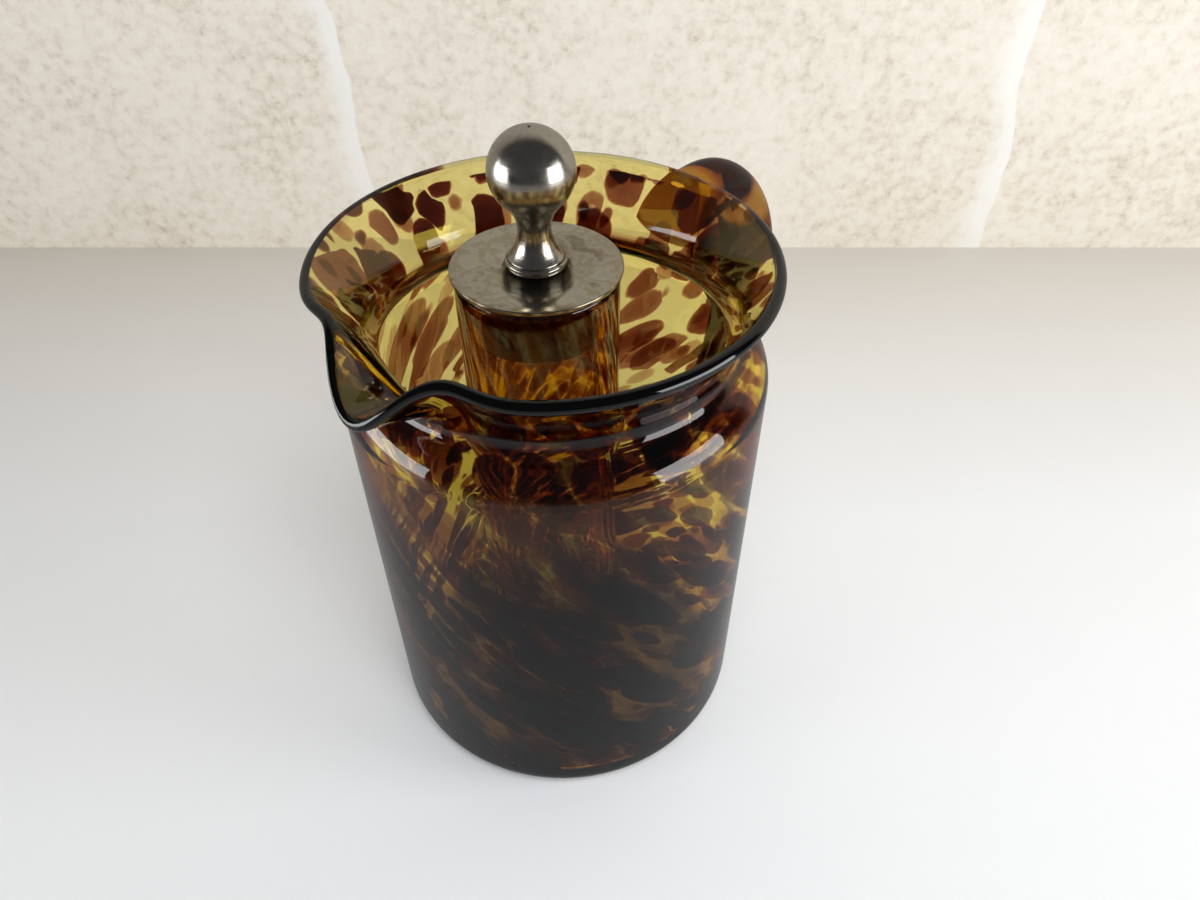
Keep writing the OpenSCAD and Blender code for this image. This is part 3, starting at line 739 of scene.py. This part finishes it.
def makeLid(plateMaterial, cupMaterial, knobMaterial):
    middle, radius, thick = boxMiddle("lid_plate")
    edge = lid["plateEdge"]
    rim = arc(radius - edge, edge, edge, -90, 0, 6) + arc(radius - edge, thick - edge, edge, 0, 90, 6)
    disc = spinSection([(lid["hole"], 0)] + rim + [(lid["hole"], thick)], lid["around"], middle, True)
    makePiece("lid_disc", disc, plateMaterial, "lid", "lid_plate")

    middle, radius, depth = boxMiddle("plug_cup")
    wall = lid["cupWall"]
    bend = lid["cupRound"]
    cup = [(lid["hole"], depth)] + arc(radius - bend, depth - bend, bend, 90, 0, 8)
    cup += arc(radius - wall / 2, wall / 2, wall / 2, 0, -180, 8)
    cup += arc(radius - bend, depth - bend, bend - wall, 0, 90, 8) + [(lid["hole"], depth - wall)]
    drawn = spinSection(cup, lid["around"], middle, True)
    makePiece("lid_cup", drawn, cupMaterial, "lid", "plug_cup")

    middle = boxMiddle("knob")[0]
    k = lid
    ball = k["ballRadius"]
    beadHeight = k["ringHeight"] + k["beadRadius"]
    flareHeight = beadHeight + k["beadRadius"] * math.sin(math.radians(k["beadAngle"]))
    rise = k["ballHeight"] - k["stemTop"]
    curve = (k["stemRadius"] ** 2 + rise ** 2 - ball ** 2) / (2 * (ball - k["stemRadius"]))
    curveAngle = math.degrees(math.atan2(rise, k["stemRadius"] + curve))
    markAngle = 90 - math.degrees(math.asin(k["markRadius"] / ball))
    knob = [(0, k["tapDepth"]), (k["tapRadius"], k["tapDepth"]), (k["tapRadius"], 0), (k["ringRadius"], 0)]
    knob += arc(k["ringRadius"] - k["ringHeight"] / 2, k["ringHeight"] / 2, k["ringHeight"] / 2, 0, 90, 5)
    knob += arc(k["beadReach"], beadHeight, k["beadRadius"], -k["beadAngle"], k["beadAngle"], 12)
    flareMiddle = flareHeight + k["stemFlare"] * math.sin(math.radians(k["stemFoot"]))
    knob += arc(k["stemRadius"] + k["stemFlare"], flareMiddle, k["stemFlare"], 180 + k["stemFoot"], 180, 14)
    knob += arc(k["stemRadius"] + curve, k["stemTop"], curve, 180, 180 - curveAngle, 20)
    knob += arc(0, k["ballHeight"], ball, curveAngle - 90, markAngle, 56)[1:]
    knob += [(k["markRadius"], k["ballHeight"] + ball - k["markDepth"]), (0, k["ballHeight"] + ball - k["markDepth"])]
    makePiece("lid_knob", spinSection(knob, lid["around"], middle), knobMaterial, "lid", "knob")


def makeMetal(name, look):
    # Metal that was spun, drawn or turned: it mirrors under fine rings from the lathe and from wiping, and tarnish
    # lies on it in clouds that also dull it
    material, tree = newMaterial(name)
    middle = boxMiddle("lid_plate")[0]
    place = addNode(tree, "ShaderNodeTexCoord")
    centred = addNode(tree, "ShaderNodeMapping", {"Location": tuple(-c for c in middle)},
                      {"Vector": place.outputs["Object"]})
    parts = addNode(tree, "ShaderNodeSeparateXYZ", links={"Vector": centred.outputs[0]})
    flat = addNode(tree, "ShaderNodeCombineXYZ", links={"X": parts.outputs["X"], "Y": parts.outputs["Y"]})
    radius = addNode(tree, "ShaderNodeVectorMath", {"operation": "LENGTH"}, {0: flat.outputs[0]})
    turned = addNode(tree, "ShaderNodeCombineXYZ", links={"X": radius.outputs["Value"], "Y": parts.outputs["Z"]})
    lines = addNode(tree, "ShaderNodeTexNoise", {"Scale": 1 / (look["lineSpacing"] * mm), "Detail": 2.0},
                    {"Vector": turned.outputs[0]})
    cloud = addNode(tree, "ShaderNodeTexNoise",
                    {"Scale": 1 / (look["cloudSize"] * mm), "Detail": 6.0, "Roughness": 0.6, "Distortion": 0.15},
                    {"Vector": centred.outputs[0]})
    tarnish = setRamp(addNode(tree, "ShaderNodeValToRGB", links={"Fac": cloud.outputs["Fac"]}), look["tones"])
    rough = addNode(tree, "ShaderNodeMapRange", {"From Min": 0.3, "From Max": 0.7, "To Min": look["smooth"],
                                                 "To Max": look["worn"]}, {"Value": cloud.outputs["Fac"]})
    bump = addNode(tree, "ShaderNodeBump", {"Strength": look["lineDepth"], "Distance": 0.1 * mm},
                   {"Height": lines.outputs["Fac"]})
    shader = addNode(tree, "ShaderNodeBsdfPrincipled", {"Metallic": 1.0},
                     {"Base Color": tarnish.outputs["Color"], "Roughness": rough.outputs[0],
                      "Normal": bump.outputs[0]})
    addNode(tree, "ShaderNodeOutputMaterial", links={"Surface": shader.outputs[0]})
    return material


makeCamera()
makeStage()
makeWorld()
print("camera and studio are up")

makeBody(makeGlassMaterial("amberBlownGlass", bodyChips))
makeHandle(makeGlassMaterial("amberRodGlass", handleChips, handle["density"], linear(handle["milk"])))
print("pitcher is made")

makeTube(makeGlassMaterial("amberTubeGlass", tubeChips, tube["density"]))
silverDisc = makeMetal("tarnishedSilverDisc", metals["disc"])
silverCup = makeMetal("darkenedSilverCup", metals["cup"])
silverKnob = makeMetal("polishedSilverKnob", metals["knob"])
steel = makeMetal("turnedScrewSteel", metals["screw"])
makeLid(silverDisc, silverCup, silverKnob)
print("tube and lid are made")

for node in ("lid_screw", "screw_washer"):
    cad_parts[node].data.materials.clear()
    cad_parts[node].data.materials.append(steel)
